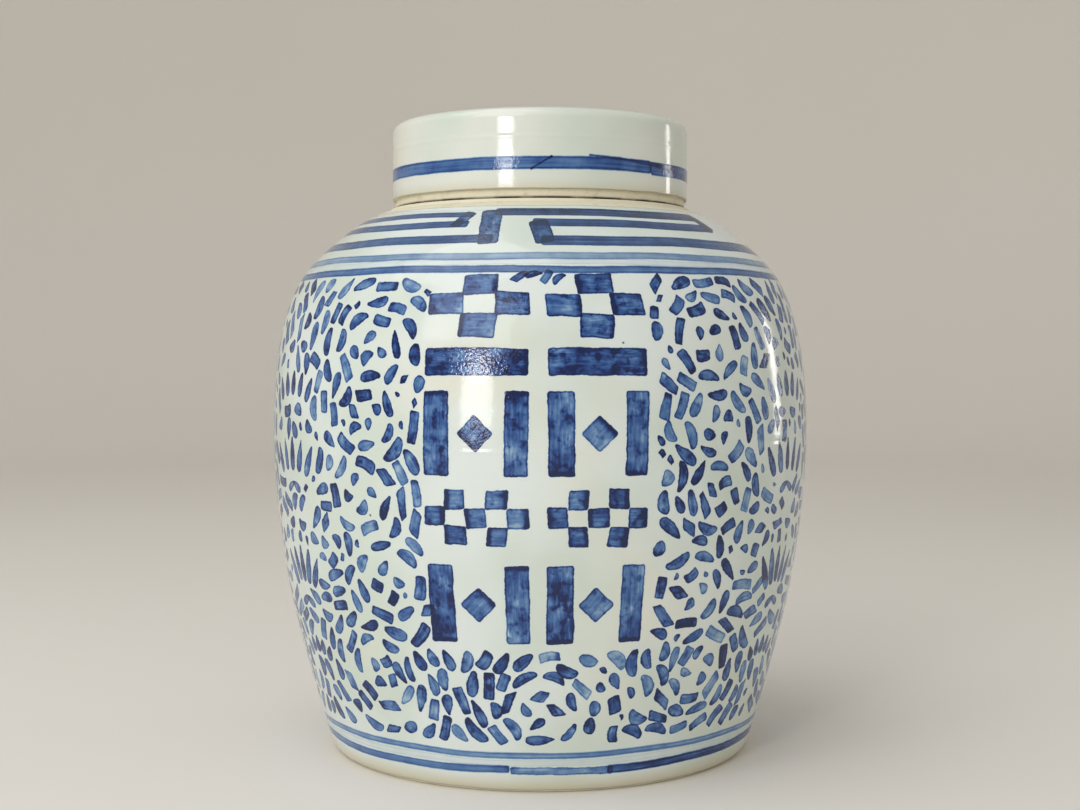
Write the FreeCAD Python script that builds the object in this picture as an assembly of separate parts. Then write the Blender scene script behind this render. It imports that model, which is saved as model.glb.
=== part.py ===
import FreeCAD, Part
import os

# Ginger jar in glazed porcelain, modelled in millimetres with +Z up. The origin is on the
# centre of the foot, where the jar stands. Two pieces: the thrown body, with a foot ring, a
# full shoulder, a bare flat ledge and a short neck, and a cap lid that drops over the neck
# and stands on the ledge. Both are solids of revolution, so each is one outline of
# (radius, height) points turned about the Z axis.

# Driving dimensions
BELLY_RADIUS = 100.0
BELLY_HEIGHT = 122.0
LEDGE_HEIGHT = 200.0
NECK_RADIUS = 47.0
NECK_HEIGHT = 18.5
LID_RADIUS = 55.4
TOTAL_HEIGHT = 232.0

# Foot ring: a flat bare face, rounded outside, round a shallow glazed recess
FOOT_OUTER = 76.0
FOOT_INNER = 69.5
FOOT_EDGE_RADIUS = 78.9
FOOT_EDGE_HEIGHT = 3.2
FOOT_BULGE = 0.42
RECESS_DEPTH = 4.0
RECESS_SLOPE = 2.0

# Body wall: thick at the foot, where the clay is left to carry the pot, and thin at the shoulder
FLOOR_THICKNESS = 6.5
WALL_AT_FOOT = 7.0
WALL_AT_SHOULDER = 4.6
FLOOR_CORNER = 9.0
FLOOR_CORNER_BULGE = 1.6

# Outside of the body between the foot and the ledge, from the bottom up
WAIST = (83.2, 17.4)
LOWER_BODY = (91.5, 48.0)
UNDER_BELLY = (97.1, 79.0)
BELLY = (BELLY_RADIUS, BELLY_HEIGHT)
OVER_BELLY = (97.3, 151.4)
SHOULDER = (90.9, 171.0)
SHOULDER_BEND = (85.0, 179.5)
SHOULDER_TOP = (76.4, 187.5)
SHOULDER_INNER = (66.6, 194.9)
LEDGE_EDGE = (56.6, LEDGE_HEIGHT - 1.0)

# Ledge and neck
LEDGE_RADIUS = 55.8
LEDGE_BULGE = 0.17
NECK_ROOT_FILLET = 1.2
NECK_WALL = 5.0

# Lid: a cap whose bare rim is a little narrower than its glazed side
LID_RIM_RADIUS = 54.3
LID_RIM_EDGE = 0.8
LID_RIM_HEIGHT = 3.3
LID_GLAZE_LIP = 0.7
LID_LIP_BULGE = 0.36
LID_WALL = 5.2
LID_TOP_THICKNESS = 5.4
LID_CORNER = 3.6
LID_INNER_CORNER = 2.5
LID_CROWN = 0.4
LID_CROWN_BULGE = 0.1
LID_FLAT_RADIUS = 14.0


def at(point):
    """The outline's (radius, height) as a point in the XZ plane."""
    radius, height = point
    return FreeCAD.Vector(radius, 0, height)


def line(start, end):
    return Part.LineSegment(at(start), at(end)).toShape()


def arc(start, middle, end):
    return Part.Arc(at(start), at(middle), at(end)).toShape()


def bowed(start, end, bulge):
    """An arc that stands out from its chord by the bulge, on the right of the way it runs."""
    rise = (end[0] - start[0], end[1] - start[1])
    chord = (rise[0] ** 2 + rise[1] ** 2) ** 0.5
    middle = (
        (start[0] + end[0]) / 2 + bulge * rise[1] / chord,
        (start[1] + end[1]) / 2 - bulge * rise[0] / chord,
    )
    return arc(start, middle, end)


def smooth(points):
    """One smooth curve through the points."""
    curve = Part.BSplineCurve()
    curve.interpolate([at(p) for p in points])
    return curve


def round_corner(corner, radius, start_side, end_side):
    """A quarter arc for the square corner between two sides, each given as a (radial, upward)
    unit direction from the corner. It runs from the start side to the end side."""
    r, z = corner
    start = (r + radius * start_side[0], z + radius * start_side[1])
    end = (r + radius * end_side[0], z + radius * end_side[1])
    pull = radius * (1 - 0.5 ** 0.5)
    middle = (
        r + pull * (start_side[0] + end_side[0]),
        z + pull * (start_side[1] + end_side[1]),
    )
    return start, middle, end


def revolve(edges):
    """The solid that a closed outline sweeps about the Z axis."""
    wire = Part.Wire(edges)
    face = Part.Face(wire)
    turned = face.revolve(FreeCAD.Vector(0, 0, 0), FreeCAD.Vector(0, 0, 1), 360)
    solid = turned.Solids[0] if turned.Solids else Part.Solid(turned)
    if solid.Volume < 0:
        solid.reverse()
    return solid


def wall_at(height):
    """Wall thickness at a height: it thins steadily from the foot to the shoulder."""
    share = min(max(height / LEDGE_HEIGHT, 0.0), 1.0)
    return WALL_AT_FOOT + (WALL_AT_SHOULDER - WALL_AT_FOOT) * share


def inside_of(curve, points):
    """The points moved inwards, square to the outside curve, by the wall thickness there."""
    moved = []
    for point in points:
        tangent = curve.tangent(curve.parameter(at(point)))[0]
        thickness = wall_at(point[1])
        moved.append((point[0] - thickness * tangent.z, point[1] + thickness * tangent.x))
    return moved


def jar_body():
    outside_points = [
        (FOOT_EDGE_RADIUS, FOOT_EDGE_HEIGHT),
        WAIST,
        LOWER_BODY,
        UNDER_BELLY,
        BELLY,
        OVER_BELLY,
        SHOULDER,
        SHOULDER_BEND,
        SHOULDER_TOP,
        SHOULDER_INNER,
        LEDGE_EDGE,
    ]
    outside = smooth(outside_points)

    floor = RECESS_DEPTH + FLOOR_THICKNESS
    inside_points = inside_of(outside, outside_points[1:-1])
    mouth = NECK_RADIUS - NECK_WALL
    neck_foot = (mouth, LEDGE_HEIGHT - 1.5)
    floor_end = (inside_points[0][0] - FLOOR_CORNER, floor)
    inside = smooth([neck_foot] + inside_points[::-1])

    root = round_corner((NECK_RADIUS, LEDGE_HEIGHT), NECK_ROOT_FILLET, (1, 0), (0, 1))
    lip = NECK_WALL / 2
    lip_foot = LEDGE_HEIGHT + NECK_HEIGHT - lip

    edges = [
        line((0, RECESS_DEPTH), (FOOT_INNER - RECESS_SLOPE, RECESS_DEPTH)),
        line((FOOT_INNER - RECESS_SLOPE, RECESS_DEPTH), (FOOT_INNER, 0)),
        line((FOOT_INNER, 0), (FOOT_OUTER, 0)),
        bowed((FOOT_OUTER, 0), (FOOT_EDGE_RADIUS, FOOT_EDGE_HEIGHT), FOOT_BULGE),
        outside.toShape(),
        bowed(LEDGE_EDGE, (LEDGE_RADIUS, LEDGE_HEIGHT), LEDGE_BULGE),
        line((LEDGE_RADIUS, LEDGE_HEIGHT), root[0]),
        arc(*root),
        line(root[2], (NECK_RADIUS, lip_foot)),
        arc((NECK_RADIUS, lip_foot), (NECK_RADIUS - lip, lip_foot + lip), (mouth, lip_foot)),
        line((mouth, lip_foot), neck_foot),
        inside.toShape(),
        bowed(inside_points[0], floor_end, -FLOOR_CORNER_BULGE),
        line(floor_end, (0, floor)),
        line((0, floor), (0, RECESS_DEPTH)),
    ]
    return revolve(edges)


def lid():
    bottom = LEDGE_HEIGHT
    rim_top = bottom + LID_RIM_HEIGHT
    glaze_foot = rim_top + LID_GLAZE_LIP
    crown_foot = TOTAL_HEIGHT - LID_CROWN
    inner = LID_RADIUS - LID_WALL
    ceiling = TOTAL_HEIGHT - LID_TOP_THICKNESS

    rim = round_corner((LID_RIM_RADIUS, bottom), LID_RIM_EDGE, (-1, 0), (0, 1))
    top = round_corner((LID_RADIUS, crown_foot), LID_CORNER, (0, -1), (-1, 0))
    ceiling_corner = round_corner((inner, ceiling), LID_INNER_CORNER, (-1, 0), (0, -1))

    edges = [
        line((inner, bottom), rim[0]),
        arc(*rim),
        line(rim[2], (LID_RIM_RADIUS, rim_top)),
        bowed((LID_RIM_RADIUS, rim_top), (LID_RADIUS, glaze_foot), LID_LIP_BULGE),
        line((LID_RADIUS, glaze_foot), top[0]),
        arc(*top),
        bowed(top[2], (LID_FLAT_RADIUS, TOTAL_HEIGHT), LID_CROWN_BULGE),
        line((LID_FLAT_RADIUS, TOTAL_HEIGHT), (0, TOTAL_HEIGHT)),
        line((0, TOTAL_HEIGHT), (0, ceiling)),
        line((0, ceiling), ceiling_corner[0]),
        arc(*ceiling_corner),
        line(ceiling_corner[2], (inner, bottom)),
    ]
    return revolve(edges)


def main():
    os.makedirs("parts", exist_ok=True)
    for name, make in (("jar_body", jar_body), ("lid", lid)):
        shape = make()
        box = shape.BoundBox
        print(
            f"{name}: valid {shape.isValid()}, volume {shape.Volume / 1000:.1f} cm3,",
            f"radius {box.XMax:.2f}, height {box.ZMin:.2f} to {box.ZMax:.2f}",
        )
        shape.exportStep(f"parts/{name}.step")


main()
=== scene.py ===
import random
from dataclasses import dataclass
from math import ceil, cos, degrees, floor, inf, pi, radians, sin

import bpy
import numpy as np
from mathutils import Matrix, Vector


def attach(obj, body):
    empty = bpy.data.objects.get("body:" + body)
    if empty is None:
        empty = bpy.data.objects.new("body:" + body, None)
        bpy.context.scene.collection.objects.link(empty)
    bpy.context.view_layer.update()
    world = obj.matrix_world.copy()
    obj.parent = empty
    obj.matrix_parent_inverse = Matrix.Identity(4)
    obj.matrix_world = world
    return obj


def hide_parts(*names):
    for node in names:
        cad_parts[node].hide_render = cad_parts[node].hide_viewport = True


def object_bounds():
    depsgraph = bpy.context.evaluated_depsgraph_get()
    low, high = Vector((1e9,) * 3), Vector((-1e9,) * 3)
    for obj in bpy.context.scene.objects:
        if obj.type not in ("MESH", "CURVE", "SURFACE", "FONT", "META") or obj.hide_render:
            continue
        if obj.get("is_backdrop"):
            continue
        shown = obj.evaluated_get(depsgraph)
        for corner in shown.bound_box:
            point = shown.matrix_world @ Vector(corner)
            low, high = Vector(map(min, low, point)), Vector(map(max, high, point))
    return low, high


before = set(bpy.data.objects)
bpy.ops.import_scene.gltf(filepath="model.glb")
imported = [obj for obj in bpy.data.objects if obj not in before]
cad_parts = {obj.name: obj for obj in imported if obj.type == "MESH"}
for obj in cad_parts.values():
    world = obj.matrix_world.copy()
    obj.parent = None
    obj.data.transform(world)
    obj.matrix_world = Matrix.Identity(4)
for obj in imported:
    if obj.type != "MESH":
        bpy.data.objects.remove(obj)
cad_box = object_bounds()

# The frame is in metres. The painting is laid out in millimetres along the surface, measured up
# from the outer edge of the foot or of the lid's rim, and in degrees round the jar from the
# middle of the front panel, positive to the viewer's right.
MM = 0.001

# Mesh: columns round each piece, where the painted part of the outline ends, and the longest
# step along it there and elsewhere
COLUMNS = 320
PAINTED_END = 222.0
PAINTED_STEP = 1.7
PLAIN_STEP = 6.0

# Reading a node: how near its seam plane its outline lies (in metres), how near its lowest point
# the face it stands on is (in millimetres), and the turn that makes a corner
SEAM_WIDTH = 1e-6
STANDING_DEPTH = 0.01
OUTLINE_CORNER = radians(22)

# A thrown wall dips inside the true circle by up to the depth, between two places along the
# outline with a ramp at each. A wave of it is how many go round, the height that shifts it by a
# radian, and its share of the depth
JAR_UNEVEN = {"from": 6.0, "to": 208.0, "depth": 0.28}
LID_UNEVEN = {"from": 5.0, "to": 70.0, "depth": 0.14}
UNEVEN_RAMPS = (12, 14)
MEAN_DIP = 0.5
WALL_WAVES = ((2, 31, 0.25), (3, -17, 0.15), (5, 5, 0.10))

# How many strokes a face of the mesh can carry, how far a stroke is felt past its edge, and how
# far from any stroke an unpainted face counts as
SLOTS = 3
STROKE_REACH = 2.6
FAR_AWAY = 50.0

# Strokes whose corner is at least LEAF_CORNER draw in towards both ends by this share
LEAF_CORNER = 0.7
DRAWN_IN = 0.45

# Lengths along a stroke over which its slow and its quick wander turn by a radian
SLOW_WANDER, QUICK_WANDER = 19.0, 6.5

# Where the bare clay shows, along the outlines of the jar and of the lid: the foot ring, the
# ledge with the neck and a little of its inside, and the lid's rim
JAR_FOOT_BARE = (-8.0, 1.6)
JAR_LEDGE_GLAZE = 214.6
BARE_INSIDE_LIP = 6.0
LID_RIM_BARE = (-9.0, 4.4)

# Faint ridges left by the making: where the jar's two halves meet, and round the lid's side
JAR_RIDGE = 119.0
LID_RIDGE = 22.5

# The seam between the pieces: the lid's rim meets the ledge at this radius
SEAM_RADIUS = 54.0

# The painter's hand: every random choice comes from here, in a fixed order
HAND = random.Random(23)
between = HAND.uniform


# ---- turned pieces


def seam_points(node):
    """The pieces of the node's outline that lie on its seam, as chains of (radius, height)."""
    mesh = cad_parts[node].data
    places = [
        (round(v.co.x, 7), round(v.co.z, 7)) if abs(v.co.y) < SEAM_WIDTH < v.co.x else None
        for v in mesh.vertices
    ]
    beside = {}
    for edge in mesh.edges:
        a, b = (places[i] for i in edge.vertices)
        if a and b and a != b:
            beside.setdefault(a, set()).add(b)
            beside.setdefault(b, set()).add(a)
    chains = []
    left = {p for p, near in beside.items() if len(near) == 1}
    while left:
        chain = [min(left, key=lambda p: (p[1], p[0]))]
        while True:
            onward = [p for p in beside[chain[-1]] if p not in chain]
            if not onward:
                break
            chain.append(onward[0])
        left -= {chain[0], chain[-1]}
        chains.append(chain)
    return chains


def outline(node):
    """The node's whole outline, from the axis round the material and back to the axis. Chains
    that end at one height are joined by the flat ring between them."""
    chains = seam_points(node)
    start = min(chains, key=lambda c: alone_end(c, chains)[1])
    first = alone_end(start, chains)
    path = list(start) if start[0] == first else list(reversed(start))
    rest = [c for c in chains if c is not start]
    while rest:
        end = path[-1]
        chain = min(rest, key=lambda c: min(abs(c[0][1] - end[1]), abs(c[-1][1] - end[1])))
        rest.remove(chain)
        forward = abs(chain[0][1] - end[1]) <= abs(chain[-1][1] - end[1])
        path += chain if forward else reversed(chain)
    return np.array([(0.0, path[0][1]), *path, (0.0, path[-1][1])])


def alone_end(chain, chains):
    """The end of a chain whose height no other chain shares, or a point above everything."""
    ends = [p for c in chains for p in (c[0], c[-1])]
    for end in (chain[0], chain[-1]):
        if sum(abs(p[1] - end[1]) < SEAM_WIDTH for p in ends) == 1:
            return end
    return (0.0, inf)


def along_outline(points):
    """Millimetres along the outline from the outer edge of the face that the piece stands on."""
    steps = np.hypot(*np.diff(points, axis=0).T)
    length = np.concatenate([[0.0], np.cumsum(steps)]) / MM
    standing = points[:, 1] < points[:, 1].min() + STANDING_DEPTH * MM
    edge = np.argmax(np.where(standing, points[:, 0], -1.0))
    return length - length[edge]


def refined(points):
    """The outline as a smooth curve through each stretch between its corners, in short steps."""
    length = along_outline(points)
    chords = np.diff(points, axis=0)
    heading = np.unwrap(np.arctan2(chords[:, 1], chords[:, 0]))
    turns = np.abs(np.diff(heading))
    corner = np.concatenate([[True], turns > OUTLINE_CORNER, [True]])
    through = np.zeros_like(points)
    through[1:-1] = points[2:] - points[:-2]
    through[0], through[-1] = chords[0], chords[-1]
    fine = [points[0]]
    for i, chord in enumerate(chords):
        size = np.hypot(*chord)
        leave, arrive = (
            chord if corner[k] else through[k] * size / np.hypot(*through[k]) for k in (i, i + 1)
        )
        middle = (length[i] + length[i + 1]) / 2
        step = PAINTED_STEP if 0 < middle < PAINTED_END else PLAIN_STEP
        count = max(1, ceil(size / MM / step))
        for t in np.arange(1, count + 1) / count:
            fine.append(
                points[i] * (2 * t**3 - 3 * t**2 + 1)
                + leave * (t**3 - 2 * t**2 + t)
                + points[i + 1] * (3 * t**2 - 2 * t**3)
                + arrive * (t**3 - t**2)
            )
    return np.clip(fine, points.min(axis=0), points.max(axis=0))


def faded(value, start, end):
    """A smooth step from 0 to 1 as the value goes from start to end."""
    t = np.clip((value - start) / (end - start), 0, 1)
    return t * t * (3 - 2 * t)


class Pot:
    """A turned piece: its outline, its mesh, and the strokes painted on its outside."""

    def __init__(self, node, unevenness):
        points = refined(outline(node))
        self.s = along_outline(points)[1:-1]
        self.ends = points[0], points[-1]
        self.r, self.z = points[1:-1].T
        self.theta = np.radians(np.arange(COLUMNS) * 360 / COLUMNS - 180)
        self.unevenness = unevenness
        self.rows = np.flatnonzero((self.s[:-1] >= 0) & (self.s[1:] <= PAINTED_END))
        cells = (len(self.rows), COLUMNS, SLOTS)
        self.near = np.full(cells, STROKE_REACH)
        self.place = np.full((*cells, 4, 3), FAR_AWAY)
        self.size = np.ones((*cells, 3))
        self.look = np.zeros((*cells, 3))

    def radius_at(self, s):
        return float(np.interp(s, self.s, self.r)) / MM

    def point(self, theta, s):
        """The place on the surface in millimetres, with its sideways and upward directions."""
        turn = radians(theta)
        r = self.radius_at(s)
        z = float(np.interp(s, self.s, self.z)) / MM
        slope = self.radius_at(s + 1) - self.radius_at(s - 1)
        rise = (np.interp(s + 1, self.s, self.z) - np.interp(s - 1, self.s, self.z)) / MM
        out = np.array([sin(turn), -cos(turn), 0])
        across = np.array([cos(turn), sin(turn), 0])
        up = out * slope + np.array([0, 0, rise])
        return out * r + np.array([0, 0, z]), across, up / np.linalg.norm(up)

    def paint(self, stroke):
        """Gives the stroke to each face that it reaches, in place of the furthest one there."""
        half = stroke.length / 2
        rise = abs(half * sin(radians(stroke.angle))) if stroke.wraps else half
        high = rise + stroke.width + STROKE_REACH
        s_low, s_high = self.s[self.rows], self.s[self.rows + 1]
        rows = np.flatnonzero((s_high > stroke.s - high) & (s_low < stroke.s + high))
        if not len(rows):
            return
        if stroke.wraps:
            smallest = self.radius_at(stroke.s)
        else:
            smallest = max(1.0, self.r[self.rows[rows]].min() / MM)
        turn = min(pi, (half + stroke.width + STROKE_REACH) / smallest)
        step = 2 * pi / COLUMNS
        middle = (radians(stroke.theta) + pi) / step
        columns = np.arange(floor(middle - turn / step), ceil(middle + turn / step))
        columns = columns[:COLUMNS]

        corner_rows = self.rows[rows][:, None, None] + np.array([0, 0, 1, 1])
        corner_columns = columns[None, :, None] + np.array([0, 1, 1, 0])
        theta = corner_columns * step - pi
        u, v = stroke.local(self, theta, corner_rows)
        apart = stroke.distance(u.mean(-1), v.mean(-1))

        near = self.near[np.ix_(rows, columns % COLUMNS)]
        i, j = np.nonzero(apart < near.max(-1))
        u, v = u[i, j], v[i, j]
        slots = rows[i], columns[j] % COLUMNS, near.argmax(-1)[i, j]
        self.near[slots] = apart[i, j]
        self.place[slots] = np.stack([u, v, np.full_like(u, stroke.grain)], -1)
        self.size[slots] = half, stroke.width / 2, stroke.end_width / 2
        self.look[slots] = stroke.corner, stroke.tone, stroke.pool

    def uneven_radius(self):
        """Radii of the mesh's points: thrown by hand, it dips a little inside the true circle."""
        s, z = self.s[:, None], self.z[:, None] / MM
        dip = MEAN_DIP
        for count, rise, share in WALL_WAVES:
            dip = dip + share * np.sin(count * self.theta + z / rise)
        start, end = self.unevenness["from"], self.unevenness["to"]
        ramp_in, ramp_out = UNEVEN_RAMPS
        depth = self.unevenness["depth"] * faded(s, start, start + ramp_in)
        return self.r[:, None] - depth * faded(s, end, end - ramp_out) * dip * MM

    def mesh(self, name):
        """A closed mesh of the piece, with its strokes as attributes of its faces' corners."""
        r = self.uneven_radius()
        z = np.broadcast_to(self.z[:, None], r.shape)
        x, y = r * np.sin(self.theta), -r * np.cos(self.theta)
        points = np.stack([x, y, z], -1).reshape(-1, 3)
        points = np.concatenate([points, [(0.0, 0.0, end[1]) for end in self.ends]])
        first, last = len(points) - 2, len(points) - 1
        low = np.arange(len(self.r) - 1)[:, None] * COLUMNS
        here = np.arange(COLUMNS)
        onward = (here + 1) % COLUMNS
        quads = np.stack(
            np.broadcast_arrays(
                low + here, low + onward, low + COLUMNS + onward, low + COLUMNS + here
            ),
            -1,
        ).reshape(-1, 4)
        top = (len(self.r) - 1) * COLUMNS
        fans = [(first, b, a) for a, b in zip(here, onward)]
        fans += [(top + a, top + b, last) for a, b in zip(here, onward)]
        mesh = bpy.data.meshes.new(name)
        mesh.from_pydata(points.tolist(), [], quads.tolist() + [tuple(map(int, f)) for f in fans])
        mesh.shade_smooth()
        along = np.concatenate([np.repeat(self.s, COLUMNS), [self.s[0], self.s[-1]]])
        mesh.attributes.new("along", "FLOAT", "POINT").data.foreach_set("value", along)
        self.write_strokes(mesh)
        return mesh

    def write_strokes(self, mesh):
        """Writes where each face's corners lie on its strokes, and how those strokes look."""
        faces = (self.rows[:, None] * COLUMNS + np.arange(COLUMNS)).reshape(-1)
        corners = (faces[:, None] * 4 + np.arange(4)).reshape(-1)
        kinds = {"place": (self.place, FAR_AWAY), "size": (self.size, 1), "look": (self.look, 0)}
        for slot in range(SLOTS):
            for kind, (cells, blank) in kinds.items():
                given = cells[:, :, slot].reshape(-1, 3)
                values = np.full((len(mesh.loops), 3), float(blank))
                values[corners] = np.repeat(given, len(corners) // len(given), axis=0)
                made = mesh.attributes.new(f"stroke{slot}_{kind}", "FLOAT_VECTOR", "CORNER")
                made.data.foreach_set("vector", values.reshape(-1))


# ---- brush strokes


@dataclass
class Stroke:
    """One mark of the brush, centred on a place on the pot. It runs its length at an angle from
    level and loses the taper's share of its width on the way. The bend is how far its middle
    bows, the shear how far its ends slant, and the wander how far it strays from its line. The
    corner is 0 for square ends and 1 for round ones, the tone how much cobalt it carries, and
    the pool how much ran to its end. A stroke that wraps follows the turn of the pot, as bands
    do, and the others are flat."""

    theta: float
    s: float
    length: float
    width: float
    angle: float = 0.0
    taper: float = 0.0
    bend: float = 0.0
    shear: float = 0.0
    corner: float = 0.5
    tone: float = 0.75
    pool: float = 0.25
    wander: float = 0.0
    wraps: bool = False

    def __post_init__(self):
        self.end_width = self.width * (1 - self.taper)
        self.grain = between(0, 9)

    def ball(self):
        """The radius of the balls in a row that stand for the stroke when strokes make room."""
        return self.width * (1 - BALL_TAPER * self.taper) / 2

    def local(self, pot, theta, rows):
        """Millimetres along and across the stroke, at the mesh's corners."""
        if self.wraps:
            x = (theta - radians(self.theta)) * pot.radius_at(self.s)
            x, y = np.broadcast_arrays(x, pot.s[rows] - self.s)
        else:
            origin, across, up = pot.point(self.theta, self.s)
            r, z = pot.r[rows] / MM, pot.z[rows] / MM
            px, py = r * np.sin(theta) - origin[0], -r * np.cos(theta) - origin[1]
            pz = z - origin[2]
            x = px * across[0] + py * across[1]
            y = px * up[0] + py * up[1] + pz * up[2]
        tilt = radians(self.angle)
        u = x * cos(tilt) + y * sin(tilt)
        v = y * cos(tilt) - x * sin(tilt)
        v = v - self.bend * (1 - (2 * u / self.length) ** 2)
        slow = np.sin(u / SLOW_WANDER + self.grain)
        quick = np.sin(u / QUICK_WANDER - self.grain)
        v = v + self.wander * (slow + 0.5 * quick)
        return u + self.shear * v, v

    def distance(self, u, v):
        """How far a point is outside the stroke's edge, as the material works it out."""
        half = self.length / 2
        t = np.clip(u / half / 2 + 0.5, 0, 1)
        width = (self.width + (self.end_width - self.width) * t * t) / 2
        if self.corner >= LEAF_CORNER:
            width = width * (1 - DRAWN_IN * np.minimum((u / half) ** 2, 1))
        radius = self.corner * np.minimum(width, half)
        along, across = np.abs(u) - half + radius, np.abs(v) - width + radius
        outside = np.hypot(np.maximum(along, 0), np.maximum(across, 0))
        return outside + np.minimum(np.maximum(along, across), 0) - radius


def turned(a, b):
    """The way round from angle b to angle a, in radians, by the shorter side."""
    return (a - b + pi) % (2 * pi) - pi


def settle(pot, loose, fixed, eyes):
    """Pushes the loose strokes off each other and off the fixed ones until they keep their gap,
    and drops those left with no room. As they move they turn with the scrolls round the eyes.
    Each stroke counts as three balls in a row on the surface."""
    strokes = loose + fixed
    free = slice(0, len(loose))
    theta = np.radians([m.theta for m in strokes])
    s = np.array([m.s for m in strokes])
    tilt = np.radians([m.angle for m in strokes])
    ball = np.array([m.ball() for m in strokes])
    arm = np.array([m.length / 2 for m in strokes]) - ball
    lean = tilt[free] - direction(theta[free], s[free], eyes)
    for turn in range(SETTLING_TURNS):
        r = np.interp(s, pot.s, pot.r) / MM
        if turn % TURNS_PER_LOOK == 0:
            tilt[free] = direction(theta[free], s[free], eyes) + lean
            along = np.stack([arm * np.cos(tilt), arm * np.sin(tilt)])
            wide, high = np.abs(along[:, free]) + ball[free]
            across = turned(theta[:, None], theta) * (r[:, None] + r) / 2
            near = np.hypot(across, s[:, None] - s) < arm[:, None] + arm + NEIGHBOUR
            i, j = np.nonzero(np.triu(near, 1))
        apart = np.stack([turned(theta[i], theta[j]) * (r[i] + r[j]) / 2, s[i] - s[j]])
        push = np.zeros((2, len(strokes)))
        crowding = np.zeros(len(strokes))
        for a in (-1, 0, 1):
            for b in (-1, 0, 1):
                way = apart + a * along[:, i] - b * along[:, j]
                distance = np.hypot(*way) + NOT_ZERO
                lack = np.maximum(ball[i] + ball[j] + DAB_GAP - distance, 0)
                for axis in (0, 1):
                    step = PUSH * lack * way[axis] / distance
                    np.add.at(push[axis], i, step)
                    np.add.at(push[axis], j, -step)
                np.maximum.at(crowding, i, lack)
                np.maximum.at(crowding, j, lack)
        theta[free] += push[0, free] / r[free]
        s[free] += push[1, free]
        theta[free], s[free] = into_field(pot, theta[free], s[free], wide, high)
    kept = []
    for k in np.argsort(crowding[: len(loose)]):
        if crowding[k] < MOST_CROWDED:
            loose[k].theta, loose[k].s = degrees(theta[k]), float(s[k])
            loose[k].angle = degrees(tilt[k])
            kept.append(loose[k])
    return kept


# ---- the decoration

# The panels' middles, and the part of the wall that each keeps clear of scrolls
PANELS = (0, 120, 240)
PANEL_HALF_WIDTH = 22.8
PANEL_LOW, PANEL_HIGH = 53.0, 183.0

# The field of scrolls, and the radius that stands for the pot's where it is laid out
FIELD_LOW, FIELD_HIGH = 19.5, 177.5
BELLY = 97.0

# The columns of a panel, as degrees from its middle and width, and what they hold: the heights
# and sizes of the chequers, the bar, the uprights and the lozenges
PANEL_COLUMNS = ((-12.1, 34.0), (11.0, 32.5))
CROSS_HEIGHT, CROSS_ROW = 166.8, 7.2
BAR_HEIGHT, BAR_DEPTH = 148.0, 9.0
UPRIGHTS = ((124.9, 27.2), (69.0, 26.4))
UPRIGHT_INSETS, UPRIGHT_WIDTHS = (4.3, 3.9), (8.8, 7.8)
LOZENGE = 8.6
CHEQUER_HEIGHT, CHEQUER_ROW = 97.8, 6.0

# Dabs: how many, their least, greatest and usual length, how far they lean from the way of the
# scrolls, and the shares of dark and thin ones
DAB_COUNT = 1280
DAB_LENGTH = (5.2, 11.0, 8.0)
SCROLL_LEAN = (-2, 24)
DARK_SHARE, THIN_SHARE = 0.18, 0.12

# Making room: the gap between dabs, the turns of pushing, how often neighbours are looked up and
# how far off, the strength of a push, and how crowded a dab may stay before it is dropped
DAB_GAP = 1.7
SETTLING_TURNS = 60
TURNS_PER_LOOK = 5
NEIGHBOUR = 9
PUSH = 0.2
NOT_ZERO = 1e-6
MOST_CROWDED = 1.3

# The balls that stand for a dab are narrower than its start by this share of its taper
BALL_TAPER = 0.3

# The scattered dabs start in cells of so many degrees and millimetres, seldom two in one
CELL_TURN, CELL_RISE = 6, 10
SHARED_CELL = 0.1

# Touches fill the gaps left: places tried, the least room, the most they take, and their length,
# width and bend for that room
GAP_TRIES = 24000
SMALLEST_TOUCH = 1.0
LARGEST_TOUCH = 2.6
TOUCH_LENGTH, TOUCH_WIDTH = 2.3, 1.7
TOUCH_BEND = 0.4

# Rings narrower than this turn in towards the scroll's eye
INNER_RING = 8

# Petals of a fan drop by the square of their place from its middle, and lean outwards by it
PETAL_DROP = 0.55
PETAL_LEAN = 13

# Eyes of the scrolls: degrees from the middle of the nearest panel, height, and the radii of
# the rings of dabs round each
SCROLL_EYES = (
    (36, 152, (5, 12)),
    (36, 128, (5, 11.5)),
    (37, 105, (5, 12)),
    (31, 74, (5, 12)),
    (37, 44, (5, 12)),
    (48, 86, (5,)),
)
ROUNDEL = (0, 32, (5, 12))

# The kinds of dab, with the share of each, and the least and most of what the brush does: a
# leaf, a half moon, a short block and a slanting one
DAB_SHARES = (38, 30, 18, 14)
DAB_KINDS = (
    dict(width=(3.9, 4.9), taper=(0.3, 0.75), corner=(0.75, 1.0), bend=(-0.6, 0.6)),
    dict(width=(3.8, 4.6), taper=(0.0, 0.3), corner=(0.75, 1.0), bend=(0.7, 1.3)),
    dict(width=(3.3, 4.2), taper=(0.0, 0.25), corner=(0.35, 0.6), bend=(-0.7, 0.7)),
    dict(width=(3.2, 4.1), taper=(0.0, 0.4), corner=(0.3, 0.5), shear=(-0.7, 0.7)),
)


def tone_of_dab():
    """Most dabs are a middling blue, a few almost black, and some a thin wash."""
    pick = HAND.random()
    if pick < DARK_SHARE:
        return between(1.05, 1.25)
    if pick < DARK_SHARE + THIN_SHARE:
        return between(0.5, 0.65)
    return between(0.7, 1.0)


def dab(theta, s, length, angle, width=None):
    """A short mark in one of the painter's habits."""
    kind = HAND.choices(DAB_KINDS, DAB_SHARES)[0]
    look = {name: between(*span) for name, span in kind.items()}
    if width:
        look["width"] = width
    if HAND.random() < 0.5:
        angle += 180
    tone = tone_of_dab()
    pool = between(0.0, 0.5)
    return Stroke(theta, s, length, angle=angle, tone=tone, pool=pool, **look)


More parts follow.
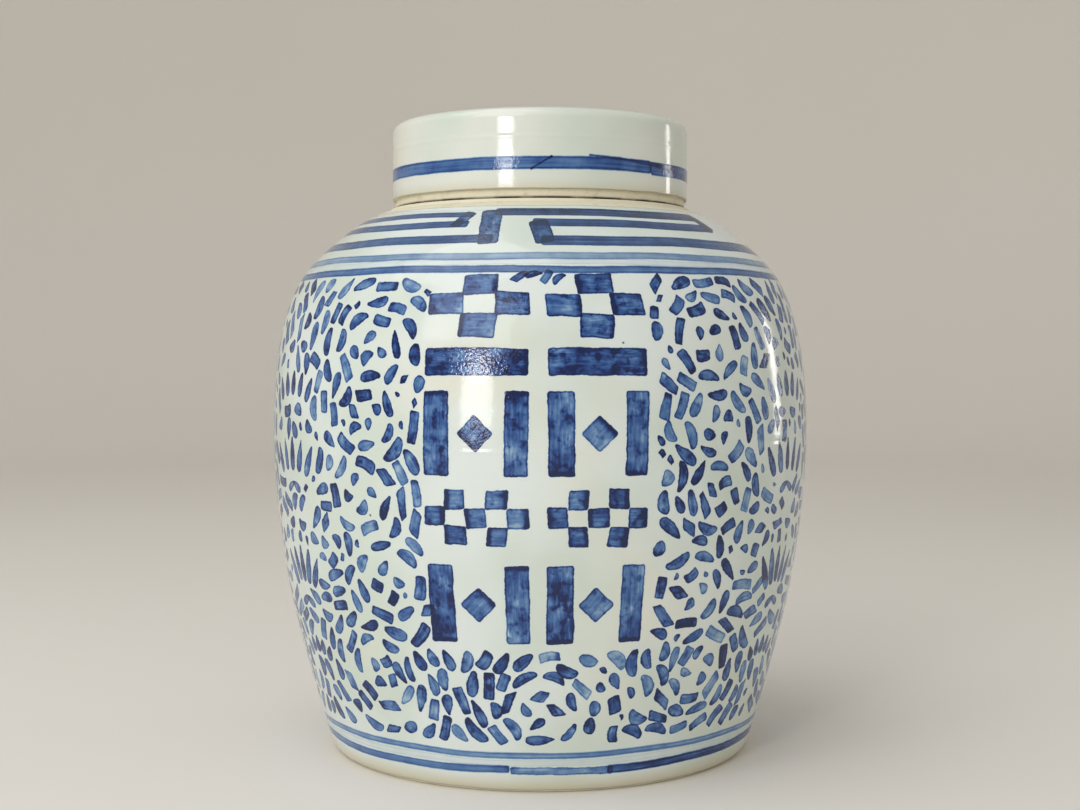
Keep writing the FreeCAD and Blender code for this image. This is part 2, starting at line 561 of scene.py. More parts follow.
def block(theta, s, width, height, tone, upright=False):
    """A rectangle filled by one pull of a flat brush, which leaves a dark end."""
    length, across = (height, width) if upright else (width, height)
    angle = (90 if upright else 0) + between(-1.2, 1.2) + HAND.choice((0, 180))
    taper = between(-0.06, 0.06)
    tone += between(-0.12, 0.12)
    pool = between(0.2, 0.8)
    return Stroke(theta, s, length, across, angle, taper, corner=0.2, tone=tone, pool=pool)


def checks(theta, s, rows, width, height, tone):
    """Squares where the rows of a little chequer have an x."""
    strokes = []
    for i, row in enumerate(rows):
        for j, mark in enumerate(row):
            if mark == "x":
                x = (j - (len(row) - 1) / 2) * width
                y = ((len(rows) - 1) / 2 - i) * height
                across = degrees(x / BELLY)
                size = width * between(0.98, 1.12), height * between(1.0, 1.14)
                square = block(theta + across, s + y + between(-0.4, 0.4), *size, tone)
                square.angle += between(-2.5, 2.5)
                square.shear = between(-0.12, 0.12)
                strokes.append(square)
    return strokes


def panel(centre):
    """Two columns of plain lattice: chequers, a bar, and uprights on each side of a lozenge."""
    strokes = []
    for column, wide in PANEL_COLUMNS:
        at = centre + column
        tone = between(0.84, 0.98)
        strokes += checks(at, CROSS_HEIGHT, ("-x-", "x-x", "-x-"), wide / 3, CROSS_ROW, tone)
        strokes.append(block(at, BAR_HEIGHT, wide, BAR_DEPTH, tone + 0.14))
        for middle, tall in UPRIGHTS:
            for side, inset, width in zip((-1, 1), UPRIGHT_INSETS, UPRIGHT_WIDTHS):
                across = degrees(side * (wide / 2 - inset) / BELLY)
                strokes.append(block(at + across, middle, width, tall, tone, upright=True))
            lozenge = block(at, middle, LOZENGE, LOZENGE, tone - 0.1)
            lozenge.angle += 45
            strokes.append(lozenge)
        rows = ("-x-x-", "x-x-x", "-x-x-")
        strokes += checks(at, CHEQUER_HEIGHT, rows, wide / 5, CHEQUER_ROW, tone)
    for shift, tilt in ((-4.2, 40), (-1.2, 15), (1.3, 60), (4, 40)):
        strokes.append(dab(centre + shift, 176.5 + between(-1, 1), 5.5, tilt, width=2.6))
    return strokes


def fan(theta, s, petals, length, spacing):
    """Petals that stand side by side and lean outwards, the middle one highest."""
    strokes = []
    for k in range(petals):
        place = k - (petals - 1) / 2
        across = degrees(place * spacing / BELLY)
        tall = length * between(0.88, 1.05)
        petal = Stroke(
            theta + across,
            s - PETAL_DROP * place * place,
            tall,
            between(3.9, 4.6),
            90 - PETAL_LEAN * place,
            between(0.45, 0.8),
            corner=0.9,
            tone=between(0.85, 1.1),
            pool=between(0.0, 0.3),
        )
        strokes.append(petal)
    return strokes


def heart(theta, s):
    """Two short marks that meet in a point below a fan."""
    return [
        Stroke(theta + side * 1.5, s, 6.4, 3.2, 90 + side * 62, taper=0.4, corner=0.8, tone=0.85)
        for side in (-1, 1)
    ]


def arch(theta, s, radius, start, end, count):
    """Dabs end to end on an arc, its angles measured anticlockwise from level."""
    for k in range(count):
        turn = radians(start + (end - start) * (k + 0.5) / count)
        yield dab(
            theta + degrees(radius * cos(turn) / BELLY),
            s + radius * sin(turn),
            between(5.5, 7),
            degrees(turn) + 90 + between(-14, 14),
        )


def flower_column(theta):
    """Four fans of petals one above another, two on hearts, with arches of dabs over them."""
    strokes = fan(theta, 140.0, 5, 9.0, 6.0)
    strokes += fan(theta, 115.5, 5, 12.5, 6.2) + heart(theta, 104.0)
    strokes += fan(theta, 76.5, 5, 13.5, 5.0) + heart(theta, 63.0)
    strokes += fan(theta, 47.0, 5, 6.5, 4.5)
    for middle, radius in ((112.5, 18.5), (133.0, 21), (74.0, 18)):
        strokes += arch(theta, middle, radius, 30, 150, 4)
    return strokes


def ring(theta, s, radius):
    """Dabs round a scroll's eye: the outer ring follows the circle, the inner one turns in."""
    inner = radius < INNER_RING
    length = 5.0 if inner else 8.2
    count = max(3, round(2 * pi * radius / (length + 2.6)))
    lead = between(0, 360)
    for k in range(count):
        turn = radians(lead + 360 * (k + between(-0.1, 0.1)) / count)
        away = radius + between(-0.5, 0.5)
        lean = between(30, 55) if inner else between(-4, 12)
        yield dab(
            theta + degrees(away * cos(turn) / BELLY),
            s + away * sin(turn),
            length * between(0.85, 1.2),
            degrees(turn) + 90 + lean,
            width=between(3.3, 4.4),
        )


def in_field(theta, s):
    """True where scrolls may be painted: between the lines, and off the panels."""
    from_panel = min(abs((theta - p + 180) % 360 - 180) for p in PANELS)
    return FIELD_LOW < s < FIELD_HIGH and not (
        from_panel < PANEL_HALF_WIDTH and PANEL_LOW < s < PANEL_HIGH
    )


def into_field(pot, theta, s, wide, high):
    """Places moved by the shortest way to where scrolls may be painted, for strokes that reach
    so wide to each side and so high above and below."""
    s = np.clip(s, FIELD_LOW + high, FIELD_HIGH - high)
    r = np.interp(s, pot.s, pot.r) / MM
    for centre in np.radians(PANELS):
        off = turned(theta, centre)
        sideways = (radians(PANEL_HALF_WIDTH) - np.abs(off)) * r + wide
        below = s - (PANEL_LOW - high)
        inside = (sideways > 0) & (below > 0)
        down = inside & (below < sideways)
        aside = inside & ~down
        s = np.where(down, PANEL_LOW - high, s)
        theta = np.where(aside, theta + np.sign(off) * sideways / r, theta)
    return theta, s


def direction(theta, s, eyes):
    """The way the scrolls run at each place: round the nearest eye, in radians from level."""
    across = turned(theta[:, None], eyes[:, 0]) * BELLY
    up = s[:, None] - eyes[:, 1]
    nearest = np.arange(len(s)), np.hypot(across, up).argmin(axis=1)
    return np.arctan2(up[nearest], across[nearest]) + pi / 2


def scroll_angle(theta, s, eyes, lean):
    """The angle in degrees of a dab that leans so far from the way of the scrolls there."""
    return degrees(direction(np.radians([theta]), np.array([s]), eyes)[0]) + lean


def scroll_eyes():
    """The eyes as (degrees, height, radii of the rings), mirrored about each panel by hand."""
    eyes = []
    for centre in PANELS:
        eyes.append((centre + ROUNDEL[0], *ROUNDEL[1:]))
        for side in (-1, 1):
            for theta, s, radii in SCROLL_EYES:
                at = centre + side * theta + between(-1, 1)
                eyes.append((at, s + between(-2, 2), radii))
    return eyes


def scatter(count, taken, eyes):
    """Dabs that run with the scrolls, at first mostly in cells of the field that are empty."""
    strokes = []
    full = {(int(m.theta % 360 // CELL_TURN), int(m.s // CELL_RISE)) for m in taken}
    while len(strokes) < count:
        theta, s = between(0, 360), between(FIELD_LOW, FIELD_HIGH)
        cell = (int(theta // CELL_TURN), int(s // CELL_RISE))
        if in_field(theta, s) and (cell not in full or HAND.random() < SHARED_CELL):
            full.add(cell)
            angle = scroll_angle(theta, s, eyes, between(*SCROLL_LEAN))
            strokes.append(dab(theta, s, HAND.triangular(*DAB_LENGTH), angle))
    return strokes


def touches(pot, laid, eyes):
    """Small dabs in the gaps that are left between the others."""
    theta, s, ball = [], [], []
    for m in laid:
        radius = m.ball()
        arm, tilt = m.length / 2 - radius, radians(m.angle)
        for share in (-1, -0.5, 0, 0.5, 1):
            s.append(m.s + share * arm * sin(tilt))
            sideways = share * arm * cos(tilt) / pot.radius_at(m.s)
            theta.append(radians(m.theta) + sideways)
            ball.append(radius)
    strokes = []
    for _ in range(GAP_TRIES):
        at, up = between(0, 360), between(FIELD_LOW + 2, FIELD_HIGH - 2)
        if not in_field(at, up):
            continue
        r = pot.radius_at(up)
        across = turned(np.array(theta), radians(at)) * r
        room = float((np.hypot(across, np.array(s) - up) - ball).min()) - DAB_GAP
        if room > SMALLEST_TOUCH:
            size = min(room, LARGEST_TOUCH)
            angle = scroll_angle(at, up, eyes, between(*SCROLL_LEAN))
            length = TOUCH_LENGTH * size * between(0.9, 1.2)
            mark = dab(at, up, length, angle, width=TOUCH_WIDTH * size)
            mark.bend *= TOUCH_BEND
            strokes.append(mark)
            theta.append(radians(at))
            s.append(up)
            ball.append(size)
    return strokes


def field(pot):
    """The flowers and scrolls round the belly, with the panels left out for their lattice."""
    flowers = [stroke for centre in PANELS for stroke in flower_column(centre + 60)]
    eyes = scroll_eyes()
    rings = []
    for theta, s, radii in eyes:
        for radius in radii:
            rings += [mark for mark in ring(theta, s, radius) if in_field(mark.theta, mark.s)]
    places = np.array([(radians(theta), s) for theta, s, _ in eyes])
    rings = settle(pot, rings, flowers, places)
    laid = flowers + rings
    laid += settle(pot, scatter(DAB_COUNT - len(laid), rings, places), laid, places)
    return laid + touches(pot, laid, places)


def line(pot, start, end, s, width, tone, wander=0.3, angle=0.0, taper=0.0):
    """A long level stroke between two places round the pot."""
    middle = (start + end) / 2
    length = radians(end - start) * pot.radius_at(s) + 2
    look = {"tone": tone, "pool": 0.2, "wander": wander, "wraps": True}
    return Stroke(middle, s, length, width, angle, taper, **look)


def bands(pot):
    """The double lines under the fret and above the foot, each with a wash between them. A pull
    is where it starts and ends round the pot, its height, width and tone."""
    pulls = (
        (-95, 88, 185.2, 3.0, 0.44),
        (88, 190, 185.2, 3.0, 0.5),
        (190, 265, 185.1, 2.8, 0.4),
        (-98, 95, 179.6, 2.7, 0.8),
        (95, 205, 179.5, 2.9, 0.74),
        (205, 262, 179.6, 2.7, 0.86),
        (-92, 100, 182.4, 2.6, 0.14),
        (100, 268, 182.4, 2.6, 0.12),
        (-100, 92, 15.5, 2.2, 0.58),
        (92, 260, 15.4, 2.3, 0.52),
        (-96, 98, 12.7, 2.6, 0.14),
        (98, 264, 12.7, 2.6, 0.12),
        (-110, -8, 9.8, 2.7, 0.72),
        (-6.4, 17, 9.6, 2.8, 0.6),
        (17, 130, 9.7, 3.0, 1.1),
        (130, 250, 9.8, 2.8, 0.8),
    )
    return [line(pot, *pull, wander=0.25) for pull in pulls]


def fret(pot, turn):
    """Half of the key pattern on the shoulder: nested lines hooked round an upright block.
    Lines are given as bands are, and uprights by place, length, width, angle and tone."""
    lines = (
        (-88, -20, 208.2, 3.2, 0.85),
        (-88, -20, 202.2, 3.6, 0.9),
        (-82, -12, 193.4, 4.2, 0.88),
        (-12, 53, 209.2, 5.0, 1.25),
        (-1, 54, 202.4, 4.2, 1.05),
        (1, 90, 192.6, 4.9, 1.0),
    )
    uprights = (
        (-12.9, 200.8, 20.0, 7.0, 96, 0.86),
        (-21.4, 205.0, 9.4, 4.2, 66, 1.0),
        (0.4, 197.4, 12.5, 6.6, 102, 1.1),
        (53.5, 205.6, 9.6, 5.0, 112, 1.05),
    )
    strokes = [
        line(pot, turn + start, turn + end, s, width, tone)
        for start, end, s, width, tone in lines
    ]
    strokes += [
        Stroke(turn + theta, s, length, width, angle, corner=0.35, tone=tone, pool=0.3)
        for theta, s, length, width, angle, tone in uprights
    ]
    return strokes


def paint_jar(pot):
    strokes = bands(pot) + fret(pot, 0) + fret(pot, 180)
    for centre in PANELS:
        strokes += panel(centre)
    for stroke in strokes + field(pot):
        pot.paint(stroke)


def paint_lid(pot):
    """A band round the side, where the two ends of the pull part, and a rosette on the top."""
    strokes = [
        line(pot, -150, 44.1, 13.4, 4.3, 0.85, wander=0.1),
        line(pot, 45.9, 208.1, 13.2, 4.4, 1.0, wander=0.1),
        line(pot, 19, 60, 15.0, 0.7, 0.75, wander=0.0, angle=-3.4, taper=-2.5),
        line(pot, -3, 4, 13.4, 0.7, 1.3, wander=0.0, angle=30.0),
    ]
    top = pot.s[-1]
    strokes += [line(pot, start, start + 130, top - 40, 2.4, 0.6) for start in (-170, -45, 80)]
    for count, away, length in ((6, 8, 7), (12, 17, 6.5), (18, 27, 6.5)):
        for k in range(count):
            strokes.append(dab(360 * k / count, top - away, length, between(60, 110)))
    for stroke in strokes:
        pot.paint(stroke)


# ---- materials


class Nodes:
    """Short calls that add nodes to a material and link them. Each gives an output socket."""

    def __init__(self, name):
        self.material = bpy.data.materials.new(name)
        self.material.use_nodes = True
        self.tree = self.material.node_tree
        self.shader = self.tree.nodes["Principled BSDF"]

    def add(self, kind, inputs, **settings):
        node = self.tree.nodes.new("ShaderNode" + kind)
        for name, value in settings.items():
            setattr(node, name, value)
        for key, value in inputs.items():
            self.put(node.inputs[key], value)
        return node

    def put(self, socket, value):
        if isinstance(value, bpy.types.NodeSocket):
            self.tree.links.new(value, socket)
        else:
            socket.default_value = value

    def math(self, operation, a, b=None, c=None, clamp=False):
        inputs = {i: v for i, v in enumerate((a, b, c)) if v is not None}
        node = self.add("Math", inputs, operation=operation, use_clamp=clamp)
        return node.outputs[0]

    def total(self, first, *others):
        for other in others:
            first = self.math("ADD", first, other)
        return first

    def minus(self, a, b):
        return self.math("SUBTRACT", a, b)

    def times(self, a, b):
        return self.math("MULTIPLY", a, b)

    def centred(self, value, size):
        """A value from 0 to 1 as one of the given size about zero."""
        return self.math("MULTIPLY_ADD", value, size, -size / 2)

    def steps(self, value, start, end, low=0.0, high=1.0):
        """A smooth step from low to high as the value goes from start to end."""
        spans = {"From Min": start, "From Max": end, "To Min": low, "To Max": high}
        inputs = {"Value": value, **spans}
        node = self.add("MapRange", inputs, interpolation_type="SMOOTHSTEP")
        return node.outputs["Result"]

    def attribute(self, name):
        node = self.add("Attribute", {}, attribute_name=name)
        parts = self.add("SeparateXYZ", {"Vector": node.outputs["Vector"]})
        return parts.outputs[0], parts.outputs[1], parts.outputs[2]

    def number(self, name):
        return self.add("Attribute", {}, attribute_name=name).outputs["Fac"]

    def where(self):
        return self.add("TexCoord", {}).outputs["Object"]

    def vector(self, x, y, z):
        return self.add("CombineXYZ", {"X": x, "Y": y, "Z": z}).outputs["Vector"]

    def noise(self, vector, size, detail=2.0, roughness=0.5):
        """Noise from 0 to 1 whose largest features are about the size, in the vector's unit."""
        inputs = {"Vector": vector, "Scale": 1 / size, "Detail": detail, "Roughness": roughness}
        return self.add("TexNoise", inputs).outputs["Fac"]

    def blend(self, share, a, b):
        node = self.add("Mix", {0: share}, data_type="RGBA")
        self.put(node.inputs[6], a)
        self.put(node.inputs[7], b)
        return node.outputs[2]

    def ramp(self, share, stops):
        node = self.add("ValToRGB", {"Fac": share})
        elements = node.color_ramp.elements
        while len(elements) < len(stops):
            elements.new(1.0)
        for element, (at, colour) in zip(elements, stops):
            element.position, element.color = at, colour
        return node.outputs["Color"]

    def finish(self, **inputs):
        for name, value in inputs.items():
            self.put(self.shader.inputs[name.replace("_", " ")], value)
        return self.material


def shade(red, green, blue):
    """An opaque colour from its 0 to 255 display values."""
    return (*(((c / 255 + 0.055) / 1.055) ** 2.4 for c in (red, green, blue)), 1.0)


JAR_WHITE = shade(223, 232, 230)
LID_WHITE = shade(225, 229, 222)
GLAZE_GREEN = shade(208, 220, 210)
GLAZE_CREAM = shade(226, 224, 206)
CLAY_CREAM = shade(228, 222, 198)
CLAY_STAIN = shade(178, 158, 122)
IRON_SPOT = shade(70, 62, 52)
# Painted shade: a grey shadow line along the glaze's thick edge, where it steps down to the bare
# clay
GLAZE_EDGE_SHADE = shade(112, 116, 116)
# Painted shade, with some dirt, for the dark gap where the lid's rim sits on the ledge
SEAM_SHADE_AND_DIRT = shade(54, 47, 36)
SLATE = shade(74, 92, 108)
FOOT_BEIGE = shade(206, 196, 166)
COBALT = (
    (0.0, shade(222, 228, 224)),
    (0.2, shade(158, 184, 204)),
    (0.42, shade(90, 128, 176)),
    (0.65, shade(44, 83, 146)),
    (0.85, shade(15, 42, 102)),
    (1.0, shade(4, 16, 56)),
)

# A pull of the brush counts as long past this half length. Each pair below is for short pulls
# and for long ones, whose edge is steadier but softer and whose streaks run on
LONG_PULL = (16.0, 24.0)
RAGGED = (1.0, 0.4)
STREAK_STRETCH = (0.16, 0.03)
CLOUDY = (1.2, 0.5)
BLOTS = (1.0, 0.1)
SOFTNESS = (0.18, 0.42)

# The cobalt of a stroke: its mean, and the most that streaks, rim and end of the pull add
MEAN_WASH = 0.7
STREAKS = 0.9
DARK_RIM = 0.34
DARK_END = 0.8

# How much a full stroke hides of what is below it, and the cobalt in its halo
COVERING = 0.94
HALO = 0.07


def stroke_edge(n, u, v, size, corner, ragged):
    """The way out to a point from the stroke's edge, as Stroke.distance works it out."""
    half, start, end = size
    progress = n.math("DIVIDE", u, half)
    share = n.math("MULTIPLY_ADD", progress, 0.5, 0.5, clamp=True)
    widening = n.times(n.minus(end, start), n.math("POWER", share, 2.0))
    is_leaf = n.steps(corner, LEAF_CORNER - 0.02, LEAF_CORNER, 0.0, -DRAWN_IN)
    from_middle = n.math("MULTIPLY", progress, progress, clamp=True)
    drawn_in = n.math("MULTIPLY_ADD", is_leaf, from_middle, 1.0)
    width = n.times(n.total(start, widening), drawn_in)
    radius = n.times(corner, n.math("MINIMUM", width, half))
    along = n.total(n.math("ABSOLUTE", u), n.minus(radius, half))
    across = n.total(n.math("ABSOLUTE", v), n.minus(radius, width))
    beyond = n.vector(n.math("MAXIMUM", along, 0.0), n.math("MAXIMUM", across, 0.0), 0.0)
    outside = n.add("VectorMath", {0: beyond}, operation="LENGTH").outputs["Value"]
    inside = n.math("MINIMUM", n.math("MAXIMUM", along, across), 0.0)
    return n.minus(n.total(outside, inside, ragged), radius)


def stroke_paint(n, slot, edge_noise, heaped):
    """How much cobalt one of a face's strokes leaves at a point, and the way to its edge."""
    u, v, grain = n.attribute(f"stroke{slot}_place")
    size = n.attribute(f"stroke{slot}_size")
    corner, tone, pool = n.attribute(f"stroke{slot}_look")
    half = size[0]
    ragged = n.times(edge_noise, n.steps(half, *LONG_PULL, *RAGGED))
    edge = stroke_edge(n, u, v, size, corner, ragged)

    stretch = n.steps(half, *LONG_PULL, *STREAK_STRETCH)
    grain_place = n.vector(n.times(u, stretch), v, n.times(grain, 11.0))
    streak = n.noise(grain_place, 1.1, detail=3.0, roughness=0.65)
    wash = n.noise(n.vector(u, v, n.times(grain, 7.0)), 6.0, detail=2.0)
    cloudy = n.times(n.minus(wash, 0.5), n.steps(half, *LONG_PULL, *CLOUDY))
    blots = n.times(heaped, n.steps(half, *LONG_PULL, *BLOTS))
    uneven = n.total(n.centred(streak, STREAKS), cloudy, blots)
    rim = n.steps(edge, -0.75, -0.2, 0.0, DARK_RIM)
    progress = n.math("DIVIDE", u, half)
    cap = n.steps(n.total(n.minus(half, u), edge_noise), 2.2, 0.6, 0.0, DARK_END)
    pooled = n.times(n.total(n.steps(progress, 0.0, 1.0, 0.0, 0.3), cap), pool)
    wet = n.times(n.total(uneven, rim, pooled, MEAN_WASH), tone)
    softness = n.steps(half, *LONG_PULL, *SOFTNESS)
    mask = n.steps(n.math("DIVIDE", edge, softness), 1.0, -1.0)
    return n.math("MULTIPLY", wet, mask, clamp=True), edge


def painting(n, place):
    """The cobalt at a point: the strokes of its face one over another, with a faint halo."""
    ragged = n.noise(place, 1.3 * MM, detail=2.0)
    loose = n.noise(place, 5 * MM, detail=0.0)
    edge_noise = n.total(n.centred(ragged, 0.55), n.centred(loose, 0.6))
    heaped = n.steps(n.noise(place, 3.2 * MM, detail=2.0, roughness=0.6), 0.48, 0.74, -0.05, 0.34)
    clear, nearest = 1.0, STROKE_REACH
    for slot in range(SLOTS):
        cobalt, edge = stroke_paint(n, slot, edge_noise, heaped)
        clear = n.times(clear, n.math("MULTIPLY_ADD", cobalt, -COVERING, 1.0))
        nearest = n.math("MINIMUM", nearest, edge)
    return n.math("MAXIMUM", n.minus(1.0, clear), n.steps(nearest, 1.6, 0.0, 0.0, HALO))


def bare_clay(n, along, spans):
    """1 where the glaze stops short, and how near its thick edge is, which sets the painted shade
    line along it. Spans are where bare clay starts and ends along the outline."""
    wavy = n.centred(n.noise(n.where(), 14 * MM, detail=3.0), 1.6)
    place = n.total(along, wavy)
    depth = -FAR_AWAY
    for start, end in spans:
        within = n.math("MINIMUM", n.minus(place, start), n.minus(end, place))
        depth = n.math("MAXIMUM", depth, within)
    return n.steps(depth, -0.12, 0.12), n.steps(n.math("ABSOLUTE", depth), 0.7, 0.0)


def glaze_colour(n, place, along, cobalt, white):
    """White glaze that drifts to green and cream, over the cobalt: greyer on the shoulder, beige
    where it thins at the foot, and specked with iron."""
    cloud = n.noise(place, 45 * MM, detail=2.0)
    tint = n.blend(n.steps(cloud, 0.35, 0.7), white, GLAZE_GREEN)
    warm = n.steps(n.noise(place, 70 * MM, detail=3.0), 0.52, 0.75, 0.0, 0.6)
    tint = n.blend(warm, tint, GLAZE_CREAM)
    colour = n.blend(n.steps(cobalt, 0.0, 0.2), tint, n.ramp(cobalt, COBALT))
    greyed = n.times(n.steps(along, 174.0, 186.0, 0.0, 0.35), n.steps(cobalt, 0.1, 0.5))
    colour = n.blend(greyed, colour, SLATE)
    low_glaze = n.times(n.steps(along, 9.0, 3.0), n.steps(cobalt, 0.3, 0.0))
    colour = n.blend(n.times(low_glaze, 0.7), colour, FOOT_BEIGE)
    specks = n.add("TexVoronoi", {"Vector": place, "Scale": 1 / (17 * MM)})
    chosen = n.math("GREATER_THAN", n.noise(place, 23 * MM, detail=0.0), 0.5)
    spot = n.times(n.steps(specks.outputs["Distance"], 0.034, 0.016), chosen)
    return n.blend(n.times(spot, 0.85), colour, IRON_SPOT)


def relief(n, place, along, cobalt, bare, ridge):
    """The surface's fine shape: a soft swell, rings from throwing, the ridge, pebbled glaze over
    the cobalt, and gritty clay that lies a little lower."""
    swell = n.times(n.noise(place, 6 * MM, detail=1.0), 0.07)
    lathe = n.times(n.add("SeparateXYZ", {0: place}).outputs[2], 1 / MM)
    thrown = n.times(n.noise(n.vector(0.0, 0.0, lathe), 3.0, detail=2.0), 0.055)
    ridged = n.steps(n.math("ABSOLUTE", n.minus(along, ridge)), 1.3, 0.0, 0.0, 0.07)
    pebbled = n.times(n.noise(place, 0.9 * MM, detail=1.0), 0.085)
    pebbled = n.times(pebbled, n.steps(cobalt, 0.1, 0.7, 0.03, 1.0))
    grit = n.times(n.noise(place, 0.5 * MM, detail=3.0, roughness=0.7), 0.12)
    height = n.total(swell, thrown, ridged, pebbled, n.times(grit, bare), n.times(bare, -0.15))
    bump = n.add("Bump", {"Height": height, "Distance": MM, "Strength": 1.0})
    return bump.outputs["Normal"]


def glazed_porcelain(name, white, spans, seam, ridge):
    """Glaze of the given white over cobalt painting, with bare biscuit clay on the given spans.
    Painted shade lies as a grey line along the glaze's edge, and as a dark line with some dirt
    in the seam between jar and lid. The seam and a faint ridge are given as places along the
    outline."""
    n = Nodes(name)
    place = n.where()
    along = n.number("along")
    cobalt = painting(n, place)
    bare, painted_edge_shade = bare_clay(n, along, spans)

    colour = glaze_colour(n, place, along, cobalt, white)
    # Painted shade: a thin grey shadow line along the edge of the glaze
    colour = n.blend(n.times(painted_edge_shade, 0.6), colour, GLAZE_EDGE_SHADE)
    grime = n.noise(place, 6 * MM, detail=5.0, roughness=0.7)
    clay = n.blend(n.steps(grime, 0.5, 0.75, 0.0, 0.45), CLAY_CREAM, CLAY_STAIN)
    colour = n.blend(bare, colour, clay)
    # Painted shade, with some dirt, darkens the seam where the lid's rim sits on the ledge
    uneven_shade_and_dirt = n.steps(n.noise(place, 9 * MM, detail=3.0), 0.35, 0.6, 0.6, 1.0)
    in_seam = n.steps(n.math("ABSOLUTE", n.minus(along, seam)), 1.6, 0.8)
    colour = n.blend(n.times(in_seam, uneven_shade_and_dirt), colour, SEAM_SHADE_AND_DIRT)

    scuff = n.noise(place, 12 * MM, detail=6.0, roughness=0.7)
    gloss = n.total(n.steps(scuff, 0.45, 0.8, 0.08, 0.18), n.times(cobalt, 0.03))
    rough = n.math("MAXIMUM", gloss, n.times(bare, 0.78))
    normal = relief(n, place, along, cobalt, bare, ridge)
    return n.finish(Base_Color=colour, Roughness=rough, Normal=normal, IOR=1.5)


# ---- the two pieces


def placed(name, data):
    """A new object in the scene."""
    made = bpy.data.objects.new(name, data)
    bpy.context.scene.collection.objects.link(made)
    return made


def make_jar():
    pot = Pot("jar_body", JAR_UNEVEN)
    paint_jar(pot)
    jar = placed("ginger_jar_body", pot.mesh("ginger_jar_body"))
    lip = float(pot.s[np.argmax(pot.z)])
    spans = (JAR_FOOT_BARE, (JAR_LEDGE_GLAZE, lip + BARE_INSIDE_LIP))
    ledge = (pot.s > JAR_LEDGE_GLAZE) & (pot.s < lip)
    seam = float(np.interp(-SEAM_RADIUS * MM, -pot.r[ledge], pot.s[ledge]))
    jar.data.materials.append(glazed_porcelain("jar_glaze", JAR_WHITE, spans, seam, JAR_RIDGE))
    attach(jar, "jar")
    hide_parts("jar_body")


def make_lid():
    pot = Pot("lid", LID_UNEVEN)
    paint_lid(pot)
    lid = placed("ginger_jar_lid", pot.mesh("ginger_jar_lid"))
    glaze = glazed_porcelain("lid_glaze", LID_WHITE, (LID_RIM_BARE,), 0.0, LID_RIDGE)
    lid.data.materials.append(glaze)
    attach(lid, "lid")
    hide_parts("lid")


# ---- the studio

# The camera looks slightly down, by its pitch in degrees
CAMERA_AWAY = 0.6016
CAMERA_HEIGHT = 0.1492
CAMERA_PITCH = 2.13
LENS = 52.83
SENSOR_WIDTH = 36

# The paper sweep, with its first ring inside the floor, and how finely it is divided
FLOOR_RADIUS = 1.5
FLOOR_RING = 0.4
COVE_RADIUS = 0.5
WALL_HEIGHT = 1.5
COVE_STEPS = 12
SWEEP_SIDES = 96

# The lights look at this height. The windows' narrow cone keeps them off the floor near them
LIT_HEIGHT = 0.13
WINDOW_CONE = radians(80)
ROOM_COLOUR = (1.0, 0.98, 0.95, 1.0)
ROOM_LIGHT = 0.46


def studio_material():
    n = Nodes("studio_paper")
    cloud = n.noise(n.where(), 0.6, detail=2.0)
    paper = n.blend(cloud, shade(236, 232, 225), shade(242, 239, 233))
    return n.finish(Base_Color=paper, Roughness=0.8)


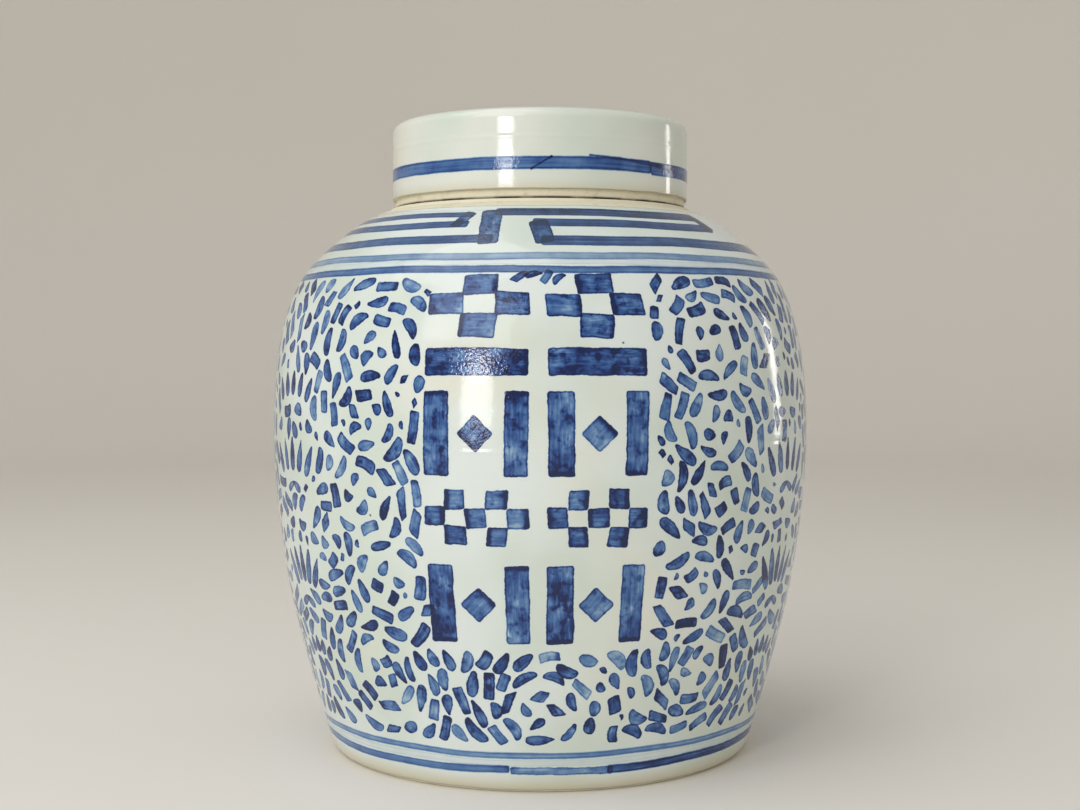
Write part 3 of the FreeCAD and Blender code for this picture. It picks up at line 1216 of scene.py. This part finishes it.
def make_stage():
    """A round paper sweep: a level floor that curves up into a wall on every side."""
    profile = [(0.0, 0.0), (FLOOR_RING, 0.0), (FLOOR_RADIUS, 0.0)]
    for k in range(1, COVE_STEPS + 1):
        turn = radians(90 * k / COVE_STEPS)
        out = FLOOR_RADIUS + COVE_RADIUS * sin(turn)
        profile.append((out, COVE_RADIUS * (1 - cos(turn))))
    profile.append((FLOOR_RADIUS + COVE_RADIUS, WALL_HEIGHT))
    points, faces = [], []
    for radius, height in profile:
        for k in range(SWEEP_SIDES):
            turn = 2 * pi * k / SWEEP_SIDES
            points.append((radius * cos(turn), radius * sin(turn), height))
    for row in range(len(profile) - 1):
        low, high = row * SWEEP_SIDES, (row + 1) * SWEEP_SIDES
        for k in range(SWEEP_SIDES):
            onward = (k + 1) % SWEEP_SIDES
            faces.append((low + k, low + onward, high + onward, high + k))
    mesh = bpy.data.meshes.new("studio_sweep")
    mesh.from_pydata(points, [], faces)
    mesh.shade_smooth()
    sweep = placed("studio_sweep", mesh)
    sweep.data.materials.append(studio_material())
    sweep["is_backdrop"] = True


def soft_light(name, azimuth, away, height, size, power, colour, spread=pi):
    """An area light that looks at the jar. Azimuth 0 is the camera's side, 90 its right. The
    size is its width and height."""
    turn = radians(azimuth)
    light = bpy.data.lights.new(name, "AREA")
    light.shape = "RECTANGLE"
    light.size, light.size_y = size
    light.energy = power
    light.color = colour
    light.spread = spread
    lamp = placed(name, light)
    lamp.location = away * sin(turn), -away * cos(turn), height
    target = Vector((0, 0, LIT_HEIGHT))
    lamp.rotation_euler = (target - lamp.location).to_track_quat("-Z", "Y").to_euler()
    lamp.visible_camera = False


def make_lights():
    """Two windows whose shapes show in the glaze, one with a patch of brighter sky, two broad
    lights, and the room."""
    cone = WINDOW_CONE
    soft_light("window", -25, 1.25, 0.27, (0.26, 0.44), 0.44, (1.0, 1.0, 0.99), cone)
    soft_light("window_sky", -25, 1.24, 0.39, (0.16, 0.11), 0.18, (1.0, 1.0, 0.98), cone)
    soft_light("front_left", -32, 1.3, 0.95, (1.0, 0.7), 4.7, (1.0, 1.0, 0.99))
    soft_light("side_window", 114, 1.2, 0.27, (0.11, 0.44), 0.17, (1.0, 0.98, 0.95), cone)
    soft_light("overhead", -60, 0.55, 1.35, (1.0, 1.0), 4.8, (1.0, 0.99, 0.98))
    world = bpy.data.worlds.new("room")
    world.use_nodes = True
    background = world.node_tree.nodes["Background"]
    background.inputs["Color"].default_value = ROOM_COLOUR
    background.inputs["Strength"].default_value = ROOM_LIGHT
    bpy.context.scene.world = world
    bpy.context.scene.view_settings.view_transform = "Standard"


def make_camera():
    camera = placed("camera", bpy.data.cameras.new("camera"))
    camera.data.lens = LENS
    camera.data.sensor_width = SENSOR_WIDTH
    camera.location = 0, -CAMERA_AWAY, CAMERA_HEIGHT
    camera.rotation_euler = radians(90 - CAMERA_PITCH), 0, 0
    bpy.context.scene.camera = camera


make_jar()
make_lid()
make_stage()
make_lights()
make_camera()

boxes = {"cad": cad_box, "visual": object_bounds()}
{k: [list(corner) for corner in box] for k, box in boxes.items()}
